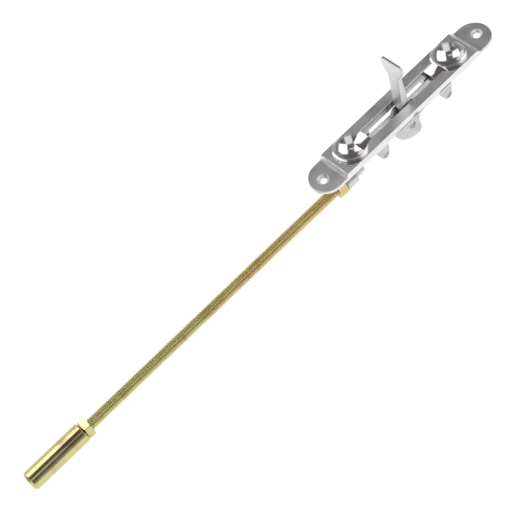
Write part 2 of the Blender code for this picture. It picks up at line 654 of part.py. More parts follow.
# ---- rod, nuts and bolt tip -------------------------------------------------------------------
def hex_nut(name, start, thickness, finish):
    """A hexagon nut on the rod, its corners turned down at both faces."""
    corner = NUT_FLATS / 2 / math.cos(math.pi / 6)
    centre = Vector((start + thickness / 2, 0.0, -ROD_DEPTH))
    nut = cylinder(name, "X", (0, 0, 0), corner, thickness, sides=6)
    nut.data.shade_flat()
    nut.data.transform(Matrix.Translation(centre) @ Matrix.Rotation(NUT_TURN, 4, "X"))
    half = thickness / 2
    face = NUT_FLATS / 2 * 0.97
    rise = half - (corner + CUT_MARGIN - face) * math.tan(math.radians(30.0))
    profile = [(0.0, half + CUT_MARGIN / 2), (face, half + CUT_MARGIN / 2), (face, half),
               (corner + CUT_MARGIN, rise), (corner + CUT_MARGIN, -rise), (face, -half),
               (face, -half - CUT_MARGIN / 2), (0.0, -half - CUT_MARGIN / 2)]
    boolean(nut, turned(f"{name}_turned", "X", centre, profile, helper=True), "INTERSECT")
    cut(nut, cylinder(f"{name}_bore", "X", centre, ROD_RADIUS + ROD_FIT,
                      thickness + CUT_MARGIN, helper=True))
    nut.data.materials.append(finish)


def build_rod(finish):
    """The threaded rod, from inside the slide's boss to inside the bolt tip."""
    end = -BOSS_FACE + ROD_IN_BOSS
    rod = cylinder("threaded_rod", "X", (end - ROD_LENGTH / 2, 0.0, -ROD_DEPTH), ROD_RADIUS,
                   ROD_LENGTH)
    bevel(rod, 0.5 * MM, 1)
    rod.data.materials.append(finish)
    return end - ROD_LENGTH


def build_tip(rod_end, finish):
    """The bolt tip, drilled for the rod, with a chamfered nose and a small chamfer behind."""
    profile = [(0.0, TIP_LENGTH), (TIP_RADIUS - TIP_SHOULDER_CHAMFER, TIP_LENGTH),
               (TIP_RADIUS, TIP_LENGTH - TIP_SHOULDER_CHAMFER), (TIP_RADIUS, TIP_CHAMFER),
               (TIP_RADIUS - TIP_CHAMFER, 0.0), (0.0, 0.0)]
    tip = turned("bolt_tip", "X", (-TIP_END, 0.0, -ROD_DEPTH), profile)
    bore_end = rod_end - FACE_GAP
    back = -TIP_END + TIP_LENGTH + CUT_MARGIN
    cut(tip, cylinder("tip_bore", "X", ((bore_end + back) / 2, 0.0, -ROD_DEPTH),
                      ROD_RADIUS + ROD_FIT, back - bore_end, helper=True))
    tip.data.materials.append(finish)


def build():
    """Every piece of the flush bolt."""
    satin_chrome = finish_material("satin_chrome", (0.62, 0.63, 0.64), 0.32, 1.0)
    cast_zinc = finish_material("cast_zinc", (0.60, 0.61, 0.61), 0.42, 1.0)
    pin_steel = finish_material("pin_steel", (0.56, 0.56, 0.57), 0.30, 1.0)
    spring_steel = finish_material("spring_steel", (0.45, 0.45, 0.47), 0.35, 1.0)
    yellow_zinc = finish_material("yellow_zinc", (0.62, 0.54, 0.31), 0.30, 1.0)
    build_faceplate(satin_chrome)
    build_cross_pins(pin_steel)
    build_detent(pin_steel, spring_steel)
    build_lever(satin_chrome, pin_steel)
    build_slide(cast_zinc)
    lock_nut_start = -BOSS_FACE - FACE_GAP - LOCK_NUT_THICKNESS
    hex_nut("lock_nut", lock_nut_start, LOCK_NUT_THICKNESS, yellow_zinc)
    hex_nut("jam_nut", -TIP_END + TIP_LENGTH + FACE_GAP, JAM_NUT_THICKNESS, yellow_zinc)
    build_tip(build_rod(yellow_zinc), yellow_zinc)


build()
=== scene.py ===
"""Finished looks for a lever-action extension flush bolt, built over its CAD frame.

The faceplate casting, the lever, the slide, the rod with its rolled thread, both nuts, the
bolt tip, the pins and the detent are each rebuilt with rounded edges, and carry plated,
cast or drawn metal finishes. Lengths are metres, +X runs away from the bolt tip and +Z
points out of the door edge.
"""

import math

import bmesh
import bpy
from mathutils import Matrix, Vector


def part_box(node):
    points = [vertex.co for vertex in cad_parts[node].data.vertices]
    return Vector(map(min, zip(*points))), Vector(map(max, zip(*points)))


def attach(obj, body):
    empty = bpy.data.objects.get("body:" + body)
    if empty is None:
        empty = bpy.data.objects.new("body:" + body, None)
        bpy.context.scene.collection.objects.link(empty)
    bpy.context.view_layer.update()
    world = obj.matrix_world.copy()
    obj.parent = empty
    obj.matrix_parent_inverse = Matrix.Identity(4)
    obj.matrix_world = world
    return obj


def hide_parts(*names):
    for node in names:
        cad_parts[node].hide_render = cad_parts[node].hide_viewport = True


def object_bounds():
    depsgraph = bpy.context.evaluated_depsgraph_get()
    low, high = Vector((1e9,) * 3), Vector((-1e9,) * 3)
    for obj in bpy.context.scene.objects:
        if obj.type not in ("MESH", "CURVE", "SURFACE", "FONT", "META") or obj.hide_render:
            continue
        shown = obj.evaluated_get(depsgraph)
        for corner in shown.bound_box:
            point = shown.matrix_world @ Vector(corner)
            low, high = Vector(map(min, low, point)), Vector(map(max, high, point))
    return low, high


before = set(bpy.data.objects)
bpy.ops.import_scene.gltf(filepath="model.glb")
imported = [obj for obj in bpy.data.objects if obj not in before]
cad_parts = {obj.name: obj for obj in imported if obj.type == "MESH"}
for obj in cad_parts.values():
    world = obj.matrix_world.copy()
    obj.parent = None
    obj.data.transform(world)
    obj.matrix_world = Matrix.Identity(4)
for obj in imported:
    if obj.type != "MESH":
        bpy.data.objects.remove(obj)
cad_low, cad_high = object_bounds()

MM = 0.001

# ---- sizes of the pieces, as in the CAD part --------------------------------------------------
HALF_LENGTH = 65.0 * MM
HALF_WIDTH = 10.15 * MM
TAB_TOP = 2.1 * MM
FACE_TOP = 4.75 * MM
STEP_BOLT = (49.8 * MM, 1.1 * MM)        # foot of the step from the centre, and its run
STEP_FAR = (50.6 * MM, 3.0 * MM)
SCREW_X = 57.75 * MM
SCREW_HOLE_RADIUS = 1.9 * MM
COUNTERSINK_RADIUS = 3.2 * MM
DISH_X = 36.6 * MM
DISH_RADIUS = 9.85 * MM
DISH_DEPTH = 5.2 * MM
DISH_BALL = (DISH_RADIUS ** 2 + DISH_DEPTH ** 2) / (2 * DISH_DEPTH)
DISH_CENTRE_Z = FACE_TOP - DISH_DEPTH + DISH_BALL
SLOT_HALF_WIDTH = 4.0 * MM
SLOT_HALF_LENGTH = 23.8 * MM
NECK_FLOOR = 0.5 * MM
GUIDE_X = 23.7 * MM
GUIDE_Z = -6.5 * MM
GUIDE_BLOCK_HALF = 3.2 * MM
LUG_END_RADIUS = 2.8 * MM
LUG_ROOT_BOLT_SIDE = 5.9 * MM
LUG_ROOT_FAR_SIDE = 3.7 * MM
LUG_INNER = 7.65 * MM
GUIDE_FACE = 4.05 * MM
PIVOT = Vector((0.6 * MM, 0.0, 1.9 * MM))
CHEEK_CENTRE = (0.0, 1.9 * MM)
CHEEK_RADIUS = 14.8 * MM
CHEEK_CORNER_RADIUS = 2.6 * MM
CHEEK_FILLET = 4.0 * MM
DETENT = Vector((-3.0 * MM, 0.0, -3.6 * MM))
DETENT_BOSS_RADIUS = 3.4 * MM
DETENT_HOLE_RADIUS = 2.0 * MM
DETENT_NOTCH_RADIUS = 1.2 * MM
SPRING_RADIUS = 1.25 * MM
SPRING_WIRE_RADIUS = 0.15 * MM
SPRING_TURNS = 3.0
PLUG_RADIUS = 1.85 * MM
PIN_RADIUS = 1.3 * MM
DRIVE_PIN_RADIUS = 1.5 * MM
PIN_GAP = 0.15 * MM                      # round a pin, in every hole
SLIDING_GAP = 0.35 * MM
LONG_PIN_HALF = 9.95 * MM
DRIVE_PIN_HALF = 2.65 * MM
LEAN = math.radians(2.5)
FOLDED = math.radians(80.0)
CRANK = 9.5 * MM
LEVER_LENGTH = 33.5 * MM
THUMB_HALF_WIDTH = 7.5 * MM
THUMB_CORNER_RADIUS = 1.6 * MM
THUMB_ARC_RADIUS = 10.0 * MM
THUMB_HEIGHT = 9.4 * MM
STEM_START = 0.6 * MM
ARM_HALF_WIDTH = 1.45 * MM
BAR_HALF_WIDTH = 3.7 * MM
BAR_TOP = -2.2 * MM
BAR_BOTTOM = -9.6 * MM
BAR_BOLT_END = -46 * MM
BAR_FAR_END = 38 * MM
PIN_LEAD = 1.455 * MM                    # the drive pin's play each way in its slot
YOKE_WALL = 0.7 * MM
ARM_SLIT_REACH = 8.2 * MM
ARM_SLIT_HALF = 1.75 * MM
ROD_Z = -13.0 * MM
ROD_RADIUS = 3.175 * MM
THREAD_PITCH = 1.27 * MM
THREAD_DEPTH = 0.62 * MM
ROD_END = -41.5 * MM
ROD_LENGTH = 203.2 * MM
BOSS_FACE = -47.9 * MM
BOSS_RADIUS = 5 * MM
NECK_RADIUS = 3.1 * MM
NECK_END = BOSS_FACE + 13.9 * MM
NUT_FLATS = 10.0 * MM
LOCK_NUT_THICKNESS = 5.5 * MM
JAM_NUT_THICKNESS = 4.2 * MM
NUT_TURN = math.radians(6.0)
TIP_RADIUS = 5.5 * MM
TIP_LENGTH = 36.0 * MM
TIP_END = -268.4 * MM
TIP_CHAMFER = 1.3 * MM
TIP_SHOULDER_CHAMFER = 0.6 * MM
FACE_GAP = 0.3 * MM                      # between faces that bear on each other
THROUGH_PLATE = 22 * MM                  # cutters run past the faces they cut
THROUGH_ARM = 20 * MM

SLIDE_RATE = CRANK * math.sin(FOLDED) / FOLDED
YOKE_X = PIVOT.x - SLIDE_RATE * LEAN
THROW_TO_BOLT = SLIDE_RATE * (FOLDED - LEAN)
THROW_TO_FAR = SLIDE_RATE * (FOLDED + LEAN)


# ---- shaping tools ----------------------------------------------------------------------------
AXIS_TURN = {"X": Matrix.Rotation(math.pi / 2, 4, "Y"),
             "Y": Matrix.Rotation(-math.pi / 2, 4, "X"),
             "Z": Matrix.Identity(4)}
PLANE_TURN = {"XY": Matrix.Identity(4),
              "XZ": Matrix.Rotation(math.pi / 2, 4, "X"),
              "YZ": Matrix.Rotation(math.pi / 2, 4, "Z") @ Matrix.Rotation(math.pi / 2, 4, "X")}
PLANE_SIGN = {"XY": 1.0, "XZ": -1.0, "YZ": 1.0}


def as_object(name, shape, matrix=None):
    """Turn a bmesh into an object whose mesh is already in its place."""
    if matrix is not None:
        bmesh.ops.transform(shape, matrix=matrix, verts=shape.verts)
    bmesh.ops.recalc_face_normals(shape, faces=shape.faces)
    mesh = bpy.data.meshes.new(name)
    shape.to_mesh(mesh)
    shape.free()
    made = bpy.data.objects.new(name, mesh)
    bpy.context.scene.collection.objects.link(made)
    return made


def arc(centre, radius, start, end, steps):
    """Points of an arc, angles in degrees, both ends included."""
    turns = [math.radians(start + (end - start) * k / steps) for k in range(steps + 1)]
    return [(centre[0] + radius * math.cos(a), centre[1] + radius * math.sin(a)) for a in turns]


def filleted(points, radii, closed=True, steps=5):
    """Round the corners of an outline, each with its own radius; 0 leaves a corner sharp."""
    made = []
    count = len(points)
    for k, (point, radius) in enumerate(zip(points, radii)):
        end = not closed and k in (0, count - 1)
        if radius <= 0 or end:
            made.append(point)
            continue
        here = Vector(point)
        back = (Vector(points[k - 1]) - here).normalized()
        ahead = (Vector(points[(k + 1) % count]) - here).normalized()
        half = back.angle(ahead) / 2
        centre = here + (back + ahead).normalized() * radius / math.sin(half)
        first = here + back * radius / math.tan(half) - centre
        last = here + ahead * radius / math.tan(half) - centre
        turn = first.angle_signed(last)
        for step in range(steps + 1):
            made.append(tuple(centre + Matrix.Rotation(-turn * step / steps, 2) @ first))
    return made


def prism(name, points, plane, low, high, rim=0.0, segments=3, only=None):
    """Extrude an outline between two places along its plane's normal and round its rims."""
    shape = bmesh.new()
    face = shape.faces.new([shape.verts.new((u, v, 0.0)) for u, v in points])
    grown = bmesh.ops.extrude_face_region(shape, geom=[face])
    sign = PLANE_SIGN[plane]
    moved = [g for g in grown["geom"] if isinstance(g, bmesh.types.BMVert)]
    bmesh.ops.translate(shape, verts=moved, vec=(0, 0, high - low))
    start = low if sign > 0 else -high
    bmesh.ops.transform(shape, matrix=PLANE_TURN[plane] @ Matrix.Translation((0, 0, start)),
                        verts=shape.verts)
    bmesh.ops.recalc_face_normals(shape, faces=shape.faces)
    if rim > 0:
        edges = [e for e in shape.edges if e.calc_face_angle(0.0) > math.radians(40.0)
                 and (only is None or only((e.verts[0].co + e.verts[1].co) / 2))]
        bmesh.ops.bevel(shape, geom=edges, offset=rim, segments=segments, profile=0.5,
                        affect="EDGES", clamp_overlap=True)
    return as_object(name, shape)


def box(name, low, high, rim=0.0, segments=3):
    """A box with rounded edges between two corners."""
    outline = [(low[0], low[1]), (high[0], low[1]), (high[0], high[1]), (low[0], high[1])]
    return prism(name, outline, "XY", low[2], high[2], rim, segments)


def turned(name, axis, centre, profile, sides=64):
    """Turn a profile of (radius, place along the axis) about an axis; its ends lie on the axis."""
    shape = bmesh.new()
    verts = [shape.verts.new((radius, 0.0, along)) for radius, along in profile]
    edges = [shape.edges.new(pair) for pair in zip(verts, verts[1:])]
    bmesh.ops.spin(shape, geom=verts + edges, cent=(0, 0, 0), axis=(0, 0, 1),
                   angle=2 * math.pi, steps=sides, use_merge=True)
    bmesh.ops.remove_doubles(shape, verts=shape.verts, dist=1e-7)
    return as_object(name, shape, Matrix.Translation(centre) @ AXIS_TURN[axis])


def rod_cutter(name, axis, centre, radius, length, sides=48):
    """A plain round cutter centred on a point."""
    half = length / 2
    return turned(name, axis, centre, [(0.0, -half), (radius, -half), (radius, half),
                                       (0.0, half)], sides)


def combine(target, joined, cutters):
    """Join and cut with exact booleans, and leave one plain mesh."""
    for operation, others in (("UNION", joined), ("DIFFERENCE", cutters)):
        for other in others:
            step = target.modifiers.new(other.name, "BOOLEAN")
            step.operation = operation
            step.solver = "EXACT"
            step.object = other
    made = plain_mesh(target)
    for other in (*joined, *cutters):
        bpy.data.objects.remove(other, do_unlink=True)
    return made


def plain_mesh(source):
    """Replace an object by the plain mesh that its modifiers give."""
    bpy.context.view_layer.update()
    graph = bpy.context.evaluated_depsgraph_get()
    mesh = bpy.data.meshes.new_from_object(source.evaluated_get(graph),
                                           preserve_all_data_layers=True, depsgraph=graph)
    name = source.name
    mesh.transform(source.matrix_world)
    bpy.data.objects.remove(source, do_unlink=True)
    mesh.name = name
    made = bpy.data.objects.new(name, mesh)
    bpy.context.scene.collection.objects.link(made)
    return made


def shaded(source, sharp=38.0):
    """Smooth round faces, keep real edges, and let the large flats rule the normals."""
    source.data.shade_smooth()
    source.data.set_sharp_from_angle(angle=math.radians(sharp))
    step = source.modifiers.new("normals", "WEIGHTED_NORMAL")
    step.keep_sharp = True
    step.weight = 90
    return plain_mesh(source)


def placed(piece, body, nodes, finish):
    """Give a finished piece its material and its body, and let it stand for its CAD nodes."""
    piece.data.materials.clear()
    piece.data.materials.append(finish)
    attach(piece, body)
    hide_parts(*nodes)
    return piece


# ---- faceplate casting ------------------------------------------------------------------------
def dish_cutter(side):
    """A ball that opens out over a rounded lip."""
    lip = 0.3 * MM
    drop = DISH_CENTRE_Z - (FACE_TOP - lip)
    lip_r = math.sqrt((DISH_BALL + lip) ** 2 - drop ** 2)
    tangent = math.degrees(math.atan2(-drop, lip_r))
    profile = arc((0.0, DISH_CENTRE_Z), DISH_BALL, -90, tangent, 40)
    profile += arc((lip_r, FACE_TOP - lip), lip, 180 + tangent, 90, 5)[1:]
    profile += [(lip_r, FACE_TOP + 3 * MM), (0.0, FACE_TOP + 3 * MM)]
    profile[0] = (0.0, DISH_CENTRE_Z - DISH_BALL)
    return turned(f"dish_{side}", "Z", (side * DISH_X, 0.0, 0.0), profile, sides=128)


def channel_cutters():
    """The through slot, and the shallow channel over it with rounded upper edges."""
    lip = 0.4 * MM
    half = SLOT_HALF_WIDTH
    right = [(half, NECK_FLOOR), (half, FACE_TOP - lip)]
    right += arc((half + lip, FACE_TOP - lip), lip, 180, 90, 5)[1:]
    right += [(half + lip, FACE_TOP + 3 * MM)]
    outline = right + [(-u, v) for u, v in reversed(right)]
    reach = DISH_X - DISH_RADIUS / 2
    return [prism("channel", outline, "YZ", -reach, reach),
            box("through_slot", (-SLOT_HALF_LENGTH, -half, -MM),
                (SLOT_HALF_LENGTH, half, 2 * MM))]


def countersink_cutter(side):
    """A countersunk screw hole with a broken edge."""
    top = TAB_TOP
    profile = [(0.0, top + MM), (4.2 * MM, top + MM), (3.42 * MM, top + 0.05 * MM),
               (COUNTERSINK_RADIUS, top - 0.08 * MM), (1.98 * MM, top - 1.22 * MM),
               (SCREW_HOLE_RADIUS, top - 1.34 * MM), (SCREW_HOLE_RADIUS, -MM), (0.0, -MM)]
    return turned(f"screw_{side}", "Z", (side * SCREW_X, 0.0, 0.0), profile, sides=72)


def faceplate_lugs():
    """Tapered lugs with rounded rims, and the guide blocks beside the bar."""
    made = []
    for end, x in (("bolt", -GUIDE_X), ("far", GUIDE_X)):
        lug = ([(x - LUG_ROOT_BOLT_SIDE, TAB_TOP / 2)]
               + arc((x, GUIDE_Z), LUG_END_RADIUS, 195, 350, 20)
               + [(x + LUG_ROOT_FAR_SIDE, TAB_TOP / 2)])
        block = ([(x - GUIDE_BLOCK_HALF, TAB_TOP / 3)]
                 + arc((x, GUIDE_Z), LUG_END_RADIUS, 180, 360, 20)
                 + [(x + GUIDE_BLOCK_HALF, TAB_TOP / 3)])
        for side in (-1, 1):
            low, high = sorted((side * LUG_INNER, side * HALF_WIDTH))
            made.append(prism(f"lug_{end}_{side}", lug, "XZ", low, high, 0.45 * MM,
                              only=lambda p: p.z < TAB_TOP / 2 - 1e-5))
            low, high = sorted((side * GUIDE_FACE, side * (LUG_INNER + 1.2 * MM)))
            made.append(prism(f"guide_{end}_{side}", block, "XZ", low, high, 0.25 * MM,
                              only=lambda p: p.z < TAB_TOP / 3 - 1e-5))
    return made


def faceplate_cheek():
    """The quarter round cheek, its outer rim well rounded, with the detent's boss behind."""
    top = TAB_TOP * 0.7
    outline = arc(CHEEK_CENTRE, CHEEK_RADIUS, 182, 268, 40)
    outline += arc((-0.3 * MM, -10.3 * MM), CHEEK_CORNER_RADIUS, 285, 360, 12)
    outline += arc((6.3 * MM, -CHEEK_FILLET), CHEEK_FILLET, 180, 92, 14)
    outline += [(10.3 * MM, top)]
    wall = prism("cheek_wall", outline, "XZ", -HALF_WIDTH, -LUG_INNER, 1.1 * MM, 5,
                 only=lambda p: p.z < top - 1e-5 and p.y < -9 * MM)
    boss = rod_cutter("detent_boss", "Y", (DETENT.x, -6.475 * MM, DETENT.z),
                      DETENT_BOSS_RADIUS, 4.85 * MM, 64)
    return [wall, boss]


def build_faceplate(finish):
    """Slab, raised middle, lugs and cheek, then the dishes, slot and holes."""
    reach = HALF_LENGTH - HALF_WIDTH
    ends = arc((reach, 0), HALF_WIDTH, -90, 90, 56) + arc((-reach, 0), HALF_WIDTH, 90, 270, 56)
    slab = prism("faceplate_casting", ends, "XY", 0.0, TAB_TOP, 0.4 * MM, 4)
    block = filleted(
        [(-STEP_BOLT[0] - 0.8 * MM, TAB_TOP - 0.6 * MM), (-STEP_BOLT[0] - 0.4 * MM, TAB_TOP),
         (-STEP_BOLT[0], TAB_TOP), (-STEP_BOLT[0] + STEP_BOLT[1], FACE_TOP),
         (STEP_FAR[0] - STEP_FAR[1], FACE_TOP), (STEP_FAR[0], TAB_TOP),
         (STEP_FAR[0] + 0.6 * MM, TAB_TOP), (STEP_FAR[0] + 0.9 * MM, TAB_TOP - 0.6 * MM),
         (STEP_FAR[0] + 0.9 * MM, 0.4 * MM), (-STEP_BOLT[0] - 0.8 * MM, 0.4 * MM)],
        [0, 0, 0.3 * MM, 0.5 * MM, 1.4 * MM, 0.5 * MM, 0, 0, 0, 0], steps=6)
    raised = prism("raised", block, "XZ", -HALF_WIDTH, HALF_WIDTH, 0.42 * MM, 4,
                   only=lambda p: abs(p.y) > 9 * MM and p.z > TAB_TOP + 0.02 * MM)
    pads = []
    for side in (-1, 1):
        low, high = -1.65 * MM, 0.5 * MM
        pads.append(turned(f"pad_{side}", "Z", (side * DISH_X, 0, 0),
                           filleted([(0.0, low), (6.1 * MM, low), (8.3 * MM, high), (0.0, high)],
                                    [0, 0.8 * MM, 0, 0], closed=False), sides=96))
    holes = [rod_cutter("pivot_hole", "Y", PIVOT, PIN_RADIUS + PIN_GAP, THROUGH_PLATE)]
    for side in (-1, 1):
        holes.append(rod_cutter(f"guide_hole_{side}", "Y", (side * GUIDE_X, 0, GUIDE_Z),
                                PIN_RADIUS + PIN_GAP, THROUGH_PLATE))
        holes.append(countersink_cutter(side))
        holes.append(dish_cutter(side))
    holes.append(rod_cutter("detent_hole", "Y", (DETENT.x, -HALF_WIDTH, DETENT.z),
                            DETENT_HOLE_RADIUS, 18.3 * MM))
    plate = combine(slab, [raised, *pads, *faceplate_lugs(), *faceplate_cheek()],
                    [*channel_cutters(), *holes])
    placed(shaded(plate), "faceplate", ["faceplate"], finish)


def build_pins(finish):
    """Cross pins with domed and lightly staked ends."""
    long_pins = [("pivot_pin", PIVOT), ("guide_pin_bolt_end", Vector((-GUIDE_X, 0, GUIDE_Z))),
                 ("guide_pin_far_end", Vector((GUIDE_X, 0, GUIDE_Z)))]
    places = [(node, centre, PIN_RADIUS, LONG_PIN_HALF, "faceplate")
              for node, centre in long_pins]
    places.append(("drive_pin", PIVOT + Matrix.Rotation(LEAN, 3, "Y") @ Vector((0, 0, -CRANK)),
                   DRIVE_PIN_RADIUS, DRIVE_PIN_HALF, "lever"))
    for node, centre, radius, half, body in places:
        dimple = [(0.0, half - 0.22 * MM), (0.35 * radius, half - 0.12 * MM)]
        shoulder = arc((radius - 0.3 * MM, half - 0.3 * MM), 0.3 * MM, 80, 0, 5)
        upper = dimple + shoulder
        profile = [(r, -along) for r, along in upper] + [(r, along) for r, along in reversed(upper)]
        pin = turned(f"{node}_finished", "Y", centre, profile, sides=48)
        placed(shaded(pin), body, [node], finish)


# ---- detent -----------------------------------------------------------------------------------
def coil_tree(finish):
    """A round wire coil with its turns, radius, length and wire as inputs."""
    tree = bpy.data.node_groups.new("wire_coil", "GeometryNodeTree")
    for name, kind in (("Geometry", "NodeSocketGeometry"), ("Turns", "NodeSocketFloat"),
                       ("Coil Radius", "NodeSocketFloat"), ("Coil Length", "NodeSocketFloat"),
                       ("Wire Radius", "NodeSocketFloat")):
        tree.interface.new_socket(name=name, in_out="INPUT", socket_type=kind)
    tree.interface.new_socket(name="Geometry", in_out="OUTPUT", socket_type="NodeSocketGeometry")
    add = tree.nodes.new
    given, result = add("NodeGroupInput"), add("NodeGroupOutput")
    spiral, wire = add("GeometryNodeCurveSpiral"), add("GeometryNodeCurvePrimitiveCircle")
    sweep, real = add("GeometryNodeCurveToMesh"), add("GeometryNodeRealizeInstances")
    paint = add("GeometryNodeSetMaterial")
    spiral.inputs["Resolution"].default_value = 40
    wire.inputs["Resolution"].default_value = 12
    sweep.inputs["Fill Caps"].default_value = True
    paint.inputs["Material"].default_value = finish
    link = tree.links.new
    link(given.outputs["Turns"], spiral.inputs["Rotations"])
    link(given.outputs["Coil Radius"], spiral.inputs["Start Radius"])
    link(given.outputs["Coil Radius"], spiral.inputs["End Radius"])
    link(given.outputs["Coil Length"], spiral.inputs["Height"])
    link(given.outputs["Wire Radius"], wire.inputs["Radius"])
    link(spiral.outputs["Curve"], sweep.inputs["Curve"])
    link(wire.outputs["Curve"], sweep.inputs["Profile Curve"])
    link(sweep.outputs["Mesh"], real.inputs["Geometry"])
    link(real.outputs["Geometry"], paint.inputs["Geometry"])
    link(paint.outputs["Geometry"], result.inputs["Geometry"])
    return tree


def build_detent(steel, spring_steel):
    """Ball, coil spring and slotted plug in the cheek."""
    low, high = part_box("detent_spring")
    holder = bpy.data.objects.new("detent_coil", bpy.data.meshes.new("detent_coil"))
    bpy.context.scene.collection.objects.link(holder)
    step = holder.modifiers.new("coil", "NODES")
    step.node_group = coil_tree(spring_steel)
    wire = SPRING_WIRE_RADIUS
    sizes = {"Turns": SPRING_TURNS, "Coil Radius": SPRING_RADIUS,
             "Coil Length": high.y - low.y - 2 * wire, "Wire Radius": wire}
    for socket in step.node_group.interface.items_tree:
        if socket.name in sizes:
            step[socket.identifier] = sizes[socket.name]
    holder.matrix_world = (Matrix.Translation((DETENT.x, low.y + wire, DETENT.z))
                           @ AXIS_TURN["Y"])
    coil = shaded(plain_mesh(holder))
    placed(coil, "faceplate", ["detent_spring"], spring_steel)

    low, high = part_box("detent_ball")
    centre = (low + high) / 2
    radius = (high.y - low.y) / 2 * 0.995
    ball = turned("detent_ball_finished", "Y", centre, arc((0, 0), radius, -90, 90, 28), 56)
    placed(shaded(ball), "detent_ball", ["detent_ball"], steel)

    low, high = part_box("detent_plug")
    outline = filleted([(0.0, low.y), (PLUG_RADIUS, low.y), (PLUG_RADIUS, high.y), (0.0, high.y)],
                       [0, 0.2 * MM, 0.1 * MM, 0], closed=False)
    plug = turned("detent_plug_finished", "Y", (DETENT.x, 0, DETENT.z), outline, 64)
    groove = box("plug_slot", (DETENT.x - 3 * MM, low.y - MM, DETENT.z - 0.25 * MM),
                 (DETENT.x + 3 * MM, low.y + 0.5 * MM, DETENT.z + 0.25 * MM))
    placed(shaded(combine(plug, [], [groove])), "faceplate", ["detent_plug"], steel)


# ---- lever ------------------------------------------------------------------------------------
def lever_half_width(along):
    """Half width of stem and half moon thumb piece at a distance from the pivot."""
    corner = THUMB_CORNER_RADIUS
    level = LEVER_LENGTH - corner
    stem = 3.4 * MM + 0.3 * MM * along / (24 * MM)
    if along > level:
        return THUMB_HALF_WIDTH - corner + math.sqrt(max(0, corner ** 2 - (along - level) ** 2))
    radius = THUMB_ARC_RADIUS
    rise = radius ** 2 - (level - along) ** 2
    moon = THUMB_HALF_WIDTH - radius + math.sqrt(rise) if rise > 0 else 0.0
    soft = 1.0 * MM
    blend = max(soft - abs(stem - moon), 0.0) / soft
    return max(stem, moon) + blend * blend * soft / 4


def lever_half_thickness(along):
    """Half thickness, from the hub up to the thin edge of the thumb piece."""
    root = LEVER_LENGTH - THUMB_HEIGHT
    if along < root:
        return (2.7 + (1.3 - 2.7) * max(along - STEM_START, 0) / (root - STEM_START)) * MM
    return (1.3 + (0.75 - 1.3) * (along - root) / (LEVER_LENGTH - root)) * MM


def rounded_ring(half_t, half_w, corner, steps=4):
    """Points of a rounded rectangle."""
    corner = min(corner, half_t * 0.95, half_w * 0.95)
    ring = []
    for sx, sy, start in ((1, 1, 0), (-1, 1, 90), (-1, -1, 180), (1, -1, 270)):
        ring += arc((sx * (half_t - corner), sy * (half_w - corner)), corner, start, start + 90,
                    steps)
    return ring


def lever_blade():
    """Stem and thumb piece as one loft, its edges softly rounded."""
    rim = 0.4 * MM
    levels = [STEM_START + (20.4 * MM) * k / 12 for k in range(13)]
    levels += [21.0 * MM + (LEVER_LENGTH - rim - 21.0 * MM) * k / 52 for k in range(1, 53)]
    rings = [(z, lever_half_thickness(z), lever_half_width(z)) for z in levels]
    for k in range(1, 7):
        turn = math.radians(15.0 * k)
        z = LEVER_LENGTH - rim + rim * math.sin(turn)
        inset = rim * (1 - math.cos(turn))
        rings.append((z, lever_half_thickness(z) - inset, lever_half_width(z) - inset))
    shape = bmesh.new()
    last = None
    for z, half_t, half_w in rings:
        row = [shape.verts.new((u, v, z)) for u, v in rounded_ring(half_t, half_w, 0.5 * MM)]
        if last is None:
            shape.faces.new(row)
        else:
            for k in range(len(row)):
                ahead = (k + 1) % len(row)
                shape.faces.new((last[k], last[ahead], row[ahead], row[k]))
        last = row
    shape.faces.new(last)
    return as_object("lever_blade", shape)


def build_lever(finish):
    """Blade, hub and lower arm, drilled for the pivot pin and the drive pin."""
    hub, end, half = 2.75 * MM, 2.6 * MM, 2.1 * MM
    hub_turn = math.degrees(math.acos(half / hub))
    end_turn = math.degrees(math.acos(half / end))
    outline = arc((0, 0), hub, -hub_turn, 180 + hub_turn, 40)
    outline += arc((0, -CRANK), end, 180 - end_turn, 360 + end_turn, 40)
    arm = prism("lever_finished", outline, "XZ", -ARM_HALF_WIDTH, ARM_HALF_WIDTH, 0.2 * MM)
    lever = combine(arm, [lever_blade()], [
        rod_cutter("bore", "Y", (0, 0, 0), PIN_RADIUS + PIN_GAP, THROUGH_ARM),
        rod_cutter("drive_bore", "Y", (0, 0, -CRANK), DRIVE_PIN_RADIUS + PIN_GAP, THROUGH_ARM)])
    lever.data.transform(Matrix.Translation(PIVOT) @ Matrix.Rotation(LEAN, 4, "Y"))
    placed(shaded(lever), "lever", ["lever"], finish)


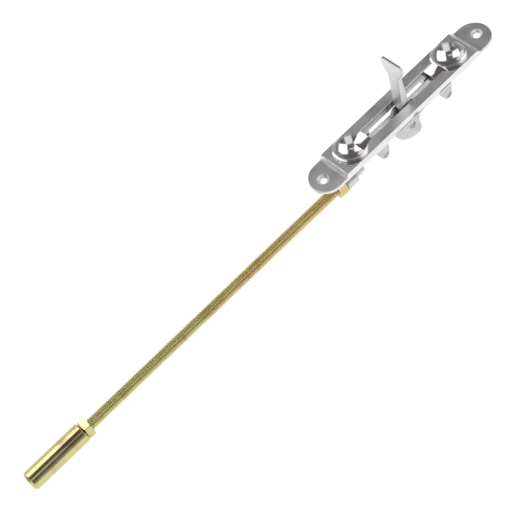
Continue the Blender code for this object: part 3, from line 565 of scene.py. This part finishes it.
# ---- slide ------------------------------------------------------------------------------------
def build_slide(finish):
    """Cast bar with its yoke, and the boss and neck that take the rod."""
    bar = box("slide_casting", (BAR_BOLT_END, -BAR_HALF_WIDTH, BAR_BOTTOM),
              (BAR_FAR_END, BAR_HALF_WIDTH, BAR_TOP), 0.4 * MM, 4)
    inner = DRIVE_PIN_RADIUS + PIN_LEAD + PIN_GAP
    outer = inner + YOKE_WALL
    slope, ear, base = 2.45 * MM, 0.25 * MM, -12.4 * MM
    outline = filleted(
        [(YOKE_X - outer - slope, BAR_TOP), (YOKE_X - outer - slope, BAR_BOTTOM),
         (YOKE_X - outer + slope / 2, base), (YOKE_X + outer - slope / 2, base),
         (YOKE_X + outer + slope, BAR_BOTTOM), (YOKE_X + outer + slope, BAR_TOP),
         (YOKE_X + outer, ear), (YOKE_X - outer, ear)],
        [0, 0, 0.8 * MM, 0.8 * MM, 0, 0, 0.3 * MM, 0.3 * MM])
    yoke = prism("yoke", outline, "XZ", -BAR_HALF_WIDTH, BAR_HALF_WIDTH, 0.3 * MM, 3,
                 only=lambda p: p.z > BAR_TOP + 0.05 * MM or p.z < BAR_BOTTOM - 0.05 * MM)
    boss = turned("boss", "X", (0, 0, ROD_Z), filleted(
        [(0.0, BOSS_FACE), (BOSS_RADIUS, BOSS_FACE), (BOSS_RADIUS, BOSS_FACE + 7.6 * MM),
         (NECK_RADIUS, BOSS_FACE + 8.1 * MM), (NECK_RADIUS, NECK_END), (0.0, NECK_END)],
        [0, 0.5 * MM, 0.7 * MM, 0.3 * MM, 1.0 * MM, 0], closed=False), sides=72)
    web = box("web", (-45.5 * MM, -2.3 * MM, ROD_Z), (-36.0 * MM, 2.3 * MM, BAR_TOP - MM),
              0.3 * MM)
    half = PIN_RADIUS + SLIDING_GAP
    cutters = []
    for side in (-1, 1):
        x = side * GUIDE_X
        start, stop = x - THROW_TO_FAR - SLIDING_GAP, x + THROW_TO_BOLT + SLIDING_GAP
        slot = arc((stop, GUIDE_Z), half, -90, 90, 16) + arc((start, GUIDE_Z), half, 90, 270, 16)
        cutters.append(prism(f"guide_slot_{side}", slot, "XZ", -6 * MM, 6 * MM))
    cutters.append(box("yoke_slot", (YOKE_X - inner, -3 * MM, -9.45 * MM),
                       (YOKE_X + inner, 3 * MM, 1.25 * MM)))
    cutters.append(box("arm_slit", (YOKE_X - ARM_SLIT_REACH, -ARM_SLIT_HALF, -14 * MM),
                       (YOKE_X + ARM_SLIT_REACH, ARM_SLIT_HALF, 1.25 * MM)))
    for k, shift in enumerate((THROW_TO_BOLT, -THROW_TO_FAR)):
        cutters.append(turned(f"notch_{k}", "Y", (DETENT.x + shift, -4.45 * MM, DETENT.z),
                              arc((0, 0), DETENT_NOTCH_RADIUS, -90, 90, 16), 32))
    cutters.append(rod_cutter("rod_bore", "X", (BOSS_FACE + 2.85 * MM, 0, ROD_Z),
                              ROD_RADIUS + PIN_GAP, 7.7 * MM))
    slide = combine(bar, [yoke, boss, web], cutters)
    placed(shaded(slide), "slide", ["slide"], finish)


# ---- rod, nuts and bolt tip -------------------------------------------------------------------
def build_rod(finish):
    """The rod with a rolled thread: rows of points follow the helix and stop square at the ends."""
    sides, first, last = 32, ROD_END - ROD_LENGTH, ROD_END
    crest, root = ROD_RADIUS, ROD_RADIUS - THREAD_DEPTH
    wave = [(0.0, crest), (0.14, crest), (0.36, (crest + root) / 2), (0.56, root),
            (0.70, root), (0.88, (crest + root) / 2)]
    pitches = int(ROD_LENGTH / THREAD_PITCH) + 3
    rows = [(first + (p - 1 + share) * THREAD_PITCH, radius)
            for p in range(pitches) for share, radius in wave]
    shape = bmesh.new()
    grid = []
    for along, radius in rows:
        ring = []
        for k in range(sides):
            x = min(max(along + THREAD_PITCH * k / sides, first), last)
            taper = root - 0.35 * MM + min(x - first, last - x)
            turn = 2 * math.pi * k / sides
            r = min(radius, taper)
            ring.append(shape.verts.new((x, r * math.cos(turn), ROD_Z + r * math.sin(turn))))
        grid.append(ring)
    ahead = len(wave)
    for j in range(len(grid) - ahead - 1):
        for k in range(sides):
            if k + 1 < sides:
                quad = (grid[j][k], grid[j][k + 1], grid[j + 1][k + 1], grid[j + 1][k])
            else:
                quad = (grid[j][k], grid[j + ahead][0], grid[j + ahead + 1][0], grid[j + 1][k])
            shape.faces.new(quad)
    bmesh.ops.remove_doubles(shape, verts=shape.verts, dist=1e-7)
    bmesh.ops.dissolve_degenerate(shape, edges=shape.edges, dist=1e-7)
    loose = [v for v in shape.verts if not v.link_faces]
    bmesh.ops.delete(shape, geom=loose, context="VERTS")
    bmesh.ops.holes_fill(shape, edges=[e for e in shape.edges if e.is_boundary], sides=0)
    rod = as_object("threaded_rod_finished", shape)
    rod.data.shade_smooth()
    rod.data.set_sharp_from_angle(angle=math.radians(60.0))
    placed(rod, "slide", ["threaded_rod"], finish)


def build_nut(node, start, thickness, finish):
    """A hexagon nut with turned down corners and a chamfered bore."""
    centre = Vector((start + thickness / 2, 0.0, ROD_Z))
    corner = NUT_FLATS / 2 / math.cos(math.pi / 6)
    turns = [math.radians(60.0 * k) + NUT_TURN for k in range(6)]
    outline = [(corner * math.cos(a), ROD_Z + corner * math.sin(a)) for a in turns]
    nut = prism(f"{node}_finished", filleted(outline, [0.35 * MM] * 6, steps=3), "YZ", start,
                start + thickness)
    half = thickness / 2
    face = NUT_FLATS / 2 * 0.95
    drop = (corner + MM - face) * math.tan(math.radians(28.0))
    round_off = turned("round_off", "X", centre, [
        (0.0, half + 0.5 * MM), (face, half + 0.5 * MM), (face, half),
        (corner + MM, half - drop), (corner + MM, drop - half), (face, -half),
        (face, -half - 0.5 * MM), (0.0, -half - 0.5 * MM)], sides=96)
    step = nut.modifiers.new("round_off", "BOOLEAN")
    step.operation, step.solver, step.object = "INTERSECT", "EXACT", round_off
    nut = plain_mesh(nut)
    bpy.data.objects.remove(round_off, do_unlink=True)
    bore = ROD_RADIUS + PIN_GAP
    hole = turned("bore", "X", centre, [
        (0.0, -half - MM), (bore + 0.4 * MM + MM, -half - MM), (bore, -half + 0.4 * MM),
        (bore, half - 0.4 * MM), (bore + 0.4 * MM + MM, half + MM), (0.0, half + MM)], sides=64)
    placed(shaded(combine(nut, [], [hole])), "slide", [node], finish)


def build_tip(finish):
    """The bolt tip: a turned bar with a chamfered nose, a broken rear edge and a blind bore."""
    back = TIP_END + TIP_LENGTH
    bore = ROD_RADIUS + PIN_GAP
    profile = filleted(
        [(0.0, TIP_END), (TIP_RADIUS - TIP_CHAMFER, TIP_END), (TIP_RADIUS, TIP_END + TIP_CHAMFER),
         (TIP_RADIUS, back - TIP_SHOULDER_CHAMFER), (TIP_RADIUS - TIP_SHOULDER_CHAMFER, back),
         (bore + 0.3 * MM, back), (bore, back - 0.3 * MM),
         (bore, ROD_END - ROD_LENGTH - FACE_GAP), (0.0, ROD_END - ROD_LENGTH - FACE_GAP)],
        [0, 0.25 * MM, 0.35 * MM, 0.2 * MM, 0.12 * MM, 0, 0, 0, 0], closed=False)
    tip = turned("bolt_tip_finished", "X", (0, 0, ROD_Z), profile, sides=96)
    placed(shaded(tip), "slide", ["bolt_tip"], finish)


# ---- finish tools -----------------------------------------------------------------------------
def wired(tree, kind, settings=None, **sources):
    """Add a node; settings are its values by name, sources are the links into its inputs."""
    node = tree.nodes.new(kind)
    for name, value in (settings or {}).items():
        if name in node.inputs:
            node.inputs[name].default_value = value
        else:
            setattr(node, name, value)
    for name, source in sources.items():
        tree.links.new(source, node.inputs[name.replace("_", " ")])
    return node


def math_node(tree, operation, first, second=None, clamp=False):
    """A Math node on two sockets or plain numbers."""
    node = tree.nodes.new("ShaderNodeMath")
    node.operation = operation
    node.use_clamp = clamp
    for socket, value in zip(node.inputs, (first, second)):
        if isinstance(value, bpy.types.NodeSocket):
            tree.links.new(value, socket)
        elif value is not None:
            socket.default_value = value
    return node.outputs[0]


def span(tree, value, low, high, to_low=0.0, to_high=1.0):
    """Map a value smoothly from one range to another."""
    node = tree.nodes.new("ShaderNodeMapRange")
    node.interpolation_type = "SMOOTHSTEP"
    tree.links.new(value, node.inputs["Value"])
    for name, number in (("From Min", low), ("From Max", high), ("To Min", to_low),
                         ("To Max", to_high)):
        if isinstance(number, bpy.types.NodeSocket):
            tree.links.new(number, node.inputs[name])
        else:
            node.inputs[name].default_value = number
    return node.outputs["Result"]


def blend(tree, share, first, second):
    """Mix two colours, given as sockets or as (r, g, b)."""
    node = tree.nodes.new("ShaderNodeMix")
    node.data_type = "RGBA"
    tree.links.new(share, node.inputs["Factor"])
    for socket, value in ((node.inputs[6], first), (node.inputs[7], second)):
        if isinstance(value, bpy.types.NodeSocket):
            tree.links.new(value, socket)
        else:
            socket.default_value = (*value, 1.0)
    return node.outputs[2]


def effect_group(name, inputs, outputs):
    """An empty shader node group with named sockets; inputs are name: default."""
    tree = bpy.data.node_groups.new(name, "ShaderNodeTree")
    for label, default in inputs.items():
        kind = "NodeSocketVector" if default is None else "NodeSocketFloat"
        socket = tree.interface.new_socket(name=label, in_out="INPUT", socket_type=kind)
        if default is not None:
            socket.default_value = default
    for label in outputs:
        tree.interface.new_socket(name=label, in_out="OUTPUT", socket_type="NodeSocketFloat")
    return tree, tree.nodes.new("NodeGroupInput").outputs, tree.nodes.new("NodeGroupOutput").inputs


def metal_grain_group():
    """Fine grain with slow variation over it: a roughness and a height."""
    tree, given, result = effect_group(
        "metal_grain", {"Vector": None, "Scale": 3000.0, "Low": 0.25, "High": 0.35},
        ("Roughness", "Height"))
    fine = wired(tree, "ShaderNodeTexNoise", {"Detail": 6.0, "Roughness": 0.62},
                 Vector=given["Vector"], Scale=given["Scale"]).outputs["Fac"]
    slow_scale = math_node(tree, "MULTIPLY", given["Scale"], 0.06)
    slow = wired(tree, "ShaderNodeTexNoise", {"Detail": 3.0}, Vector=given["Vector"],
                 Scale=slow_scale).outputs["Fac"]
    both = math_node(tree, "ADD", math_node(tree, "MULTIPLY", fine, 0.5),
                     math_node(tree, "MULTIPLY", slow, 0.5))
    tree.links.new(span(tree, both, 0.35, 0.65, given["Low"], given["High"]),
                   result["Roughness"])
    tree.links.new(fine, result["Height"])
    return tree


def hairline_group():
    """Scattered hairline scratches, one family each way."""
    tree, given, result = effect_group(
        "hairlines", {"Vector": None, "Scale": 260.0, "Amount": 0.5}, ("Mask",))
    families = []
    for k, turn in enumerate((0.5, -0.9)):
        turned_to = wired(tree, "ShaderNodeMapping", Vector=given["Vector"])
        turned_to.inputs["Rotation"].default_value = (0.3 * k, 0.2, turn)
        turned_to.inputs["Scale"].default_value = (0.09, 1.0, 1.0)
        cells = wired(tree, "ShaderNodeTexVoronoi", {"feature": "DISTANCE_TO_EDGE"},
                      Vector=turned_to.outputs[0], Scale=given["Scale"]).outputs["Distance"]
        families.append(span(tree, cells, 0.0, 0.018, 1.0, 0.0))
    where = wired(tree, "ShaderNodeTexNoise", {"Scale": 120.0, "Detail": 2.0},
                  Vector=given["Vector"]).outputs["Fac"]
    there = span(tree, where, 0.52, 0.66)
    either = math_node(tree, "MAXIMUM", families[0], families[1])
    mask = math_node(tree, "MULTIPLY", math_node(tree, "MULTIPLY", either, there),
                     given["Amount"], clamp=True)
    tree.links.new(mask, result["Mask"])
    return tree


def patches_group():
    """Soft edged patches, such as stains or thin plating."""
    tree, given, result = effect_group(
        "patches", {"Vector": None, "Scale": 200.0, "Cover": 0.5, "Softness": 0.12}, ("Mask",))
    cloud = wired(tree, "ShaderNodeTexNoise", {"Detail": 4.0, "Roughness": 0.55,
                                               "Distortion": 0.4},
                  Vector=given["Vector"], Scale=given["Scale"]).outputs["Fac"]
    edge = math_node(tree, "SUBTRACT", 1.0, given["Cover"])
    low = math_node(tree, "SUBTRACT", edge, given["Softness"])
    high = math_node(tree, "ADD", edge, given["Softness"])
    tree.links.new(span(tree, cloud, low, high), result["Mask"])
    return tree


GRAIN, HAIRLINES, PATCHES = metal_grain_group(), hairline_group(), patches_group()


def effect(tree, group, vector, **values):
    """Place an effect group in a material with its own values."""
    node = tree.nodes.new("ShaderNodeGroup")
    node.node_tree = group
    tree.links.new(vector, node.inputs["Vector"])
    for name, value in values.items():
        node.inputs[name].default_value = value
    return node.outputs


def metal(name):
    """A metal material: its tree, its shader, and Object coordinates."""
    made = bpy.data.materials.new(name)
    made.use_nodes = True
    tree = made.node_tree
    shader = tree.nodes["Principled BSDF"]
    shader.inputs["Metallic"].default_value = 1.0
    coords = tree.nodes.new("ShaderNodeTexCoord").outputs["Object"]
    return made, tree, shader, coords


def relief(tree, shader, height, depth):
    """Bump from a height, depth in metres."""
    node = tree.nodes.new("ShaderNodeBump")
    node.inputs["Strength"].default_value = 1.0
    node.inputs["Distance"].default_value = depth
    tree.links.new(height, node.inputs["Height"])
    tree.links.new(node.outputs["Normal"], shader.inputs["Normal"])


def colour_and_gloss(tree, shader, colour, roughness):
    """Feed a shader's colour and roughness."""
    tree.links.new(colour, shader.inputs["Base Color"])
    tree.links.new(roughness, shader.inputs["Roughness"])


def faceplate_chrome():
    """Satin chrome on the casting, polished bright inside the finger dishes and the slot."""
    made, tree, shader, coords = metal("faceplate_chrome")
    split = wired(tree, "ShaderNodeSeparateXYZ", Vector=coords).outputs
    folded = wired(tree, "ShaderNodeCombineXYZ", X=math_node(tree, "ABSOLUTE", split["X"]),
                   Y=split["Y"], Z=split["Z"]).outputs[0]
    reach = tree.nodes.new("ShaderNodeVectorMath")
    reach.operation = "DISTANCE"
    tree.links.new(folded, reach.inputs[0])
    reach.inputs[1].default_value = (DISH_X, 0.0, DISH_CENTRE_Z)
    bowl = span(tree, reach.outputs["Value"], DISH_BALL + 0.03 * MM, DISH_BALL + 0.16 * MM,
                1.0, 0.0)
    beside = span(tree, math_node(tree, "ABSOLUTE", split["Y"]), 4.02 * MM, 4.12 * MM, 1.0, 0.0)
    inside = span(tree, split["Z"], 4.1 * MM, 4.4 * MM, 1.0, 0.0)
    along = span(tree, math_node(tree, "ABSOLUTE", split["X"]), 40.0 * MM, 41.0 * MM, 1.0, 0.0)
    channel = math_node(tree, "MULTIPLY", math_node(tree, "MULTIPLY", beside, inside), along)
    dish = math_node(tree, "MAXIMUM", bowl, channel)
    below = span(tree, split["Z"], -1.0 * MM, 0.2 * MM, 1.0, 0.0)
    grain = effect(tree, GRAIN, coords, Scale=2600.0, Low=0.38, High=0.50)
    lines = effect(tree, HAIRLINES, coords, Scale=240.0, Amount=0.45)["Mask"]
    thin = effect(tree, PATCHES, coords, Scale=90.0, Cover=0.47, Softness=0.14)["Mask"]
    satin = blend(tree, thin, (0.80, 0.80, 0.805), (0.85, 0.85, 0.845))
    satin = blend(tree, lines, satin, (0.90, 0.90, 0.89))
    # Below the plate's face the colour turns darker, and further on its roughness rises there too.
    under_plate_tone = blend(tree, thin, (0.60, 0.60, 0.59), (0.70, 0.70, 0.69))
    satin = blend(tree, below, satin, under_plate_tone)
    colour = blend(tree, dish, satin, (0.80, 0.80, 0.795))
    rough = math_node(tree, "ADD", grain["Roughness"], math_node(tree, "MULTIPLY", below, 0.10))
    rough = math_node(tree, "ADD", rough, math_node(tree, "MULTIPLY", lines, 0.06))
    polished = math_node(tree, "MULTIPLY", grain["Roughness"], 0.36)
    keep = math_node(tree, "SUBTRACT", 1.0, dish)
    rough = math_node(tree, "ADD", math_node(tree, "MULTIPLY", rough, keep),
                      math_node(tree, "MULTIPLY", polished, dish))
    colour_and_gloss(tree, shader, colour, rough)
    rise = math_node(tree, "MULTIPLY", grain["Height"],
                     math_node(tree, "ADD", math_node(tree, "MULTIPLY", keep, 0.9), 0.1))
    cut_in = math_node(tree, "MULTIPLY", lines, -0.35)
    relief(tree, shader, math_node(tree, "ADD", rise, cut_in), 0.012 * MM)
    return made


def lever_chrome():
    """Satin chrome on the lever, rubbed a little brighter on the thumb piece."""
    made, tree, shader, coords = metal("lever_chrome")
    height = wired(tree, "ShaderNodeSeparateXYZ", Vector=coords).outputs["Z"]
    rubbed = span(tree, height, 24 * MM, 35 * MM)
    grain = effect(tree, GRAIN, coords, Scale=2200.0, Low=0.36, High=0.48)
    lines = effect(tree, HAIRLINES, coords, Scale=300.0, Amount=0.5)["Mask"]
    thin = effect(tree, PATCHES, coords, Scale=140.0, Cover=0.45, Softness=0.15)["Mask"]
    colour = blend(tree, thin, (0.68, 0.68, 0.685), (0.74, 0.74, 0.735))
    colour = blend(tree, math_node(tree, "MULTIPLY", rubbed, 0.5), colour, (0.78, 0.78, 0.77))
    colour = blend(tree, lines, colour, (0.84, 0.84, 0.83))
    rough = math_node(tree, "SUBTRACT", grain["Roughness"],
                      math_node(tree, "MULTIPLY", rubbed, 0.04))
    colour_and_gloss(tree, shader, colour, rough)
    cut_in = math_node(tree, "MULTIPLY", lines, -0.35)
    relief(tree, shader, math_node(tree, "ADD", grain["Height"], cut_in), 0.008 * MM)
    return made


def cast_zinc():
    """Tumbled zinc casting of the slide, dulled in patches and brightened where it rubs."""
    made, tree, shader, coords = metal("cast_zinc")
    split = wired(tree, "ShaderNodeSeparateXYZ", Vector=coords).outputs
    rubbed = span(tree, math_node(tree, "ABSOLUTE", split["Y"]), 3.55 * MM, 3.7 * MM)
    grain = effect(tree, GRAIN, coords, Scale=1700.0, Low=0.30, High=0.48)
    dull = effect(tree, PATCHES, coords, Scale=170.0, Cover=0.46, Softness=0.10)["Mask"]
    lines = effect(tree, HAIRLINES, coords, Scale=200.0, Amount=0.5)["Mask"]
    colour = blend(tree, dull, (0.62, 0.62, 0.60), (0.50, 0.50, 0.485))
    worn = math_node(tree, "MAXIMUM", math_node(tree, "MULTIPLY", rubbed, 0.6), lines)
    colour = blend(tree, worn, colour, (0.72, 0.72, 0.71))
    rough = math_node(tree, "SUBTRACT", grain["Roughness"],
                      math_node(tree, "MULTIPLY", worn, 0.10))
    colour_and_gloss(tree, shader, colour, rough)
    relief(tree, shader, grain["Height"], 0.03 * MM)
    return made


def turned_steel(name, tint, low, high):
    """Bright drawn or turned steel with fine lathe lines."""
    made, tree, shader, coords = metal(name)
    grain = effect(tree, GRAIN, coords, Scale=3200.0, Low=low, High=high)
    stain = effect(tree, PATCHES, coords, Scale=420.0, Cover=0.42, Softness=0.12)["Mask"]
    lathe = wired(tree, "ShaderNodeTexWave", {"Scale": 900.0, "Distortion": 1.5,
                                              "bands_direction": "Y"},
                  Vector=coords).outputs["Fac"]
    colour = blend(tree, stain, tint, tuple(0.72 * c for c in tint))
    colour_and_gloss(tree, shader, colour, math_node(
        tree, "ADD", grain["Roughness"], math_node(tree, "MULTIPLY", stain, 0.08)))
    height = math_node(tree, "ADD", math_node(tree, "MULTIPLY", lathe, 0.6), grain["Height"])
    relief(tree, shader, height, 0.006 * MM)
    return made


def yellow_zinc(name, low, high, bright):
    """Yellow passivated zinc: green gold near the bolt tip, warmer towards the faceplate."""
    made, tree, shader, coords = metal(name)
    stretched = wired(tree, "ShaderNodeMapping", Vector=coords)
    stretched.inputs["Scale"].default_value = (1.0, 0.8, 0.8)
    drift = wired(tree, "ShaderNodeTexNoise", {"Scale": 95.0, "Detail": 3.0, "Roughness": 0.5,
                                               "Distortion": 0.7},
                  Vector=stretched.outputs[0]).outputs["Fac"]
    ramp = tree.nodes.new("ShaderNodeValToRGB")
    stops = ((0.30, (0.47, 0.36, 0.22)), (0.42, (0.62, 0.52, 0.25)), (0.52, (0.65, 0.62, 0.29)),
             (0.62, (0.57, 0.62, 0.28)), (0.74, (0.68, 0.50, 0.38)))
    while len(ramp.color_ramp.elements) < len(stops):
        ramp.color_ramp.elements.new(0.5)
    for element, (place, tint) in zip(ramp.color_ramp.elements, stops):
        element.position, element.color = place, (*tint, 1.0)
    tree.links.new(drift, ramp.inputs["Fac"])
    place = wired(tree, "ShaderNodeSeparateXYZ", Vector=coords).outputs["X"]
    warm = span(tree, place, -0.205, -0.075, 0.0, 0.7)
    colour = blend(tree, warm, ramp.outputs["Color"], (0.70, 0.50, 0.23))
    thin = effect(tree, PATCHES, coords, Scale=60.0, Cover=0.5, Softness=0.2)["Mask"]
    colour = blend(tree, math_node(tree, "MULTIPLY", thin, bright), colour, (0.72, 0.66, 0.38))
    grain = effect(tree, GRAIN, coords, Scale=2400.0, Low=low, High=high)
    lines = effect(tree, HAIRLINES, coords, Scale=320.0, Amount=0.6)["Mask"]
    colour = blend(tree, lines, colour, (0.78, 0.76, 0.66))
    colour_and_gloss(tree, shader, colour, math_node(
        tree, "ADD", grain["Roughness"], math_node(tree, "MULTIPLY", lines, 0.08)))
    relief(tree, shader, grain["Height"], 0.008 * MM)
    return made


# ---- build ------------------------------------------------------------------------------------
build_faceplate(faceplate_chrome())
STEEL = turned_steel("pin_steel", (0.55, 0.55, 0.56), 0.24, 0.38)
build_pins(STEEL)
build_detent(STEEL, turned_steel("spring_steel", (0.44, 0.44, 0.46), 0.25, 0.36))
build_lever(lever_chrome())
build_slide(cast_zinc())
build_rod(yellow_zinc("yellow_zinc_thread", 0.26, 0.40, 0.45))
PLATED = yellow_zinc("yellow_zinc_smooth", 0.10, 0.18, 0.10)
build_nut("lock_nut", BOSS_FACE - FACE_GAP - LOCK_NUT_THICKNESS, LOCK_NUT_THICKNESS, PLATED)
build_nut("jam_nut", TIP_END + TIP_LENGTH + FACE_GAP, JAM_NUT_THICKNESS, PLATED)
build_tip(PLATED)


# ---- stage, light and camera ------------------------------------------------------------------
def build_floor():
    """A wide pale floor just under the lowest piece."""
    shape = bmesh.new()
    bmesh.ops.create_grid(shape, x_segments=1, y_segments=1, size=4.0)
    floor = as_object("floor", shape, Matrix.Translation((0, 0, cad_low.z - 0.2 * MM)))
    made = bpy.data.materials.new("pale_floor")
    made.use_nodes = True
    shader = made.node_tree.nodes["Principled BSDF"]
    shader.inputs["Base Color"].default_value = (0.35, 0.35, 0.35, 1)
    shader.inputs["Roughness"].default_value = 0.9
    shader.inputs["Specular IOR Level"].default_value = 0.0
    shader.inputs["Emission Color"].default_value = (1, 1, 1, 1)
    shader.inputs["Emission Strength"].default_value = 0.86
    floor.data.materials.append(made)


def softbox(name, azimuth, elevation, distance, size, brightness):
    """A soft rectangular light that faces the middle of the faceplate."""
    data = bpy.data.lights.new(name, "AREA")
    data.shape = "RECTANGLE"
    data.size, data.size_y = size
    data.energy = brightness * math.pi * size[0] * size[1]
    made = bpy.data.objects.new(name, data)
    bpy.context.scene.collection.objects.link(made)
    turn, rise = math.radians(azimuth), math.radians(elevation)
    made.location = distance * Vector((math.cos(turn) * math.cos(rise),
                                       math.sin(turn) * math.cos(rise), math.sin(rise)))
    made.rotation_euler = (-made.location).to_track_quat("-Z", "Y").to_euler()


def build_light():
    """A soft grey room with softboxes."""
    world = bpy.data.worlds.new("studio")
    bpy.context.scene.world = world
    world.use_nodes = True
    tree = world.node_tree
    room = tree.nodes["Background"]
    height = wired(tree, "ShaderNodeSeparateXYZ",
                   Vector=tree.nodes.new("ShaderNodeTexCoord").outputs["Generated"]).outputs["Z"]
    colour = blend(tree, span(tree, height, 0.15, 0.60), (0.42, 0.42, 0.43), (0.12, 0.105, 0.115))
    tree.links.new(colour, room.inputs["Color"])
    softbox("key_box", -38, 56, 0.7, (0.66, 0.52), 1.7)
    softbox("camera_side_box", -126, 46, 3.0, (1.9, 2.2), 0.75)
    softbox("far_box", 132, 52, 0.7, (0.42, 0.42), 1.5)
    softbox("low_reflector", 108, 26, 0.7, (0.42, 0.45), 0.62)
    softbox("strip_box", 136, 73, 0.6, (0.03, 0.4), 1.6)


def build_camera():
    """A long lens looking down along the bolt from the tip's end."""
    data = bpy.data.cameras.new("camera")
    data.sensor_width = 36.0
    data.lens = 105.47
    data.clip_start = 0.01
    camera = bpy.data.objects.new("camera", data)
    bpy.context.scene.collection.objects.link(camera)
    across = Vector((0.70819, -0.65444, -0.26490))
    down = Vector((-0.67490, -0.51733, -0.52619))
    ahead = Vector((0.20732, 0.55143, -0.80805))
    place = Matrix((across, -down, -ahead)).transposed().to_4x4()
    place.translation = (-0.26710, -0.42004, 0.60926)
    camera.matrix_world = place
    bpy.context.scene.camera = camera


build_floor()
build_light()
build_camera()
bpy.context.scene.view_settings.view_transform = "Standard"
